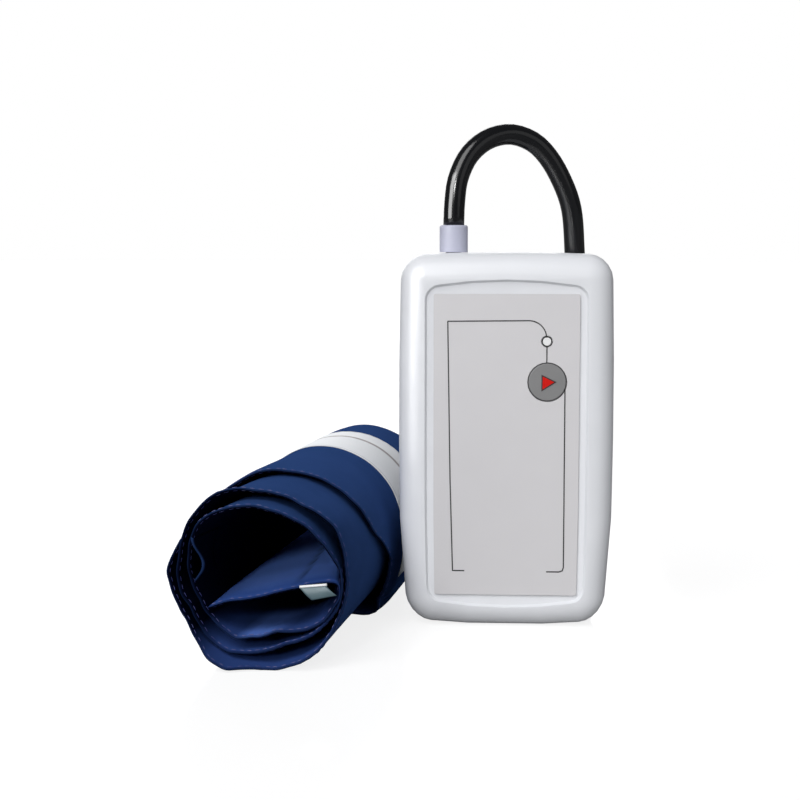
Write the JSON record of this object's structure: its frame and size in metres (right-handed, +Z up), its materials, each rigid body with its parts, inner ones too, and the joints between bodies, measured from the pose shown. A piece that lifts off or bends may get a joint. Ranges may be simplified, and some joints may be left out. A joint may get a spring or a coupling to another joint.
{
  "type": "ambulatory blood pressure monitor",
  "caption": "Pocket ambulatory blood pressure monitor: a case with pump, start button and battery door, a rubber air hose on a push-in plug, and a rolled arm cuff.",
  "frame": {"origin": "middle of the flat that the case stands on, half way through the case's depth", "axes": "+Z up along the case, +Y out of its back, +X to the right of its front face"},
  "size_m": [0.1443, 0.2665, 0.1667],
  "materials": {
    "case_white": "satin",
    "label_grey": "satin",
    "button_grey": "matte",
    "window_white": "gloss",
    "diode": "gloss",
    "board_green": "matte",
    "black_plastic": "matte",
    "steel": "brushed",
    "brass": "satin",
    "inner_plastic": "matte",
    "inner_rubber": "matte",
    "cell_jacket": "gloss",
    "collar_lavender": "satin",
    "hose_rubber": "gloss",
    "cuff_nylon": "satin",
    "bladder_rubber": "matte",
    "band_white": "matte",
    "tag_tape": "matte"
  },
  "bodies": {
    "monitor": {"front_shell": "case_white", "rear_shell": "case_white", "case_screw_1": "steel", "case_screw_2": "steel", "case_screw_3": "steel", "case_screw_4": "steel", "front_label": "label_grey", "led_window": "window_white", "status_led": "diode", "main_board": "board_green", "tact_switch": "black_plastic", "processor_chip": "black_plastic", "buzzer": "black_plastic", "pressure_sensor": "steel", "sensor_seal": "inner_rubber", "air_block": "inner_plastic", "pump_tube": "inner_rubber", "air_port": "inner_plastic", "release_valve": "steel", "pump_motor": "steel", "pump_head": "inner_plastic", "pump_cradle": "inner_rubber", "battery_1": "cell_jacket", "battery_2": "cell_jacket", "contact_spring_1": "steel", "contact_spring_2": "steel", "contact_bridge": "steel", "contact_positive": "steel", "contact_negative": "steel", "hose_arch": "hose_rubber", "hose_coil": "hose_rubber", "hose_tail": "hose_rubber", "cuff_wrap": "cuff_nylon", "cuff_bladder": "bladder_rubber", "cuff_band": "band_white", "cuff_tag": "tag_tape", "cuff_air_port": "black_plastic"},
    "button": {"start_button": "button_grey"},
    "door": {"battery_door": "case_white"},
    "plug": {"plug_collar": "collar_lavender", "plug_stem": "inner_plastic", "plug_seal": "inner_rubber"},
    "rotor": {"pump_rotor": "steel"},
    "plunger": {"valve_plunger": "brass"}
  },
  "joints": [
    {"name": "start_press", "type": "slide", "parent": "monitor", "child": "button", "axis": [0, 1, 0], "range_m": [0, 0.0005], "stiffness_N_per_m": 600, "springref_m": -0.002},
    {"name": "battery_door_hinge", "type": "hinge", "parent": "monitor", "child": "door", "pos_m": [0, 0.01505, 0.0109], "axis": [-1, 0, 0], "range_deg": [0, 60]},
    {"name": "hose_plug_pull", "type": "slide", "parent": "monitor", "child": "plug", "axis": [0, 0, 1], "range_m": [0, 0.012], "deforming": ["hose_arch"]},
    {"name": "pump_rotor_spin", "type": "hinge", "parent": "monitor", "child": "rotor", "pos_m": [0.00565, 0.00345, 0.088], "axis": [1, 0, 0], "continuous": true},
    {"name": "valve_plunger_slide", "type": "slide", "parent": "monitor", "child": "plunger", "axis": [0, 0, 1], "range_m": [-0.0008, 0], "stiffness_N_per_m": 300, "springref_m": 0.001}
  ]
}
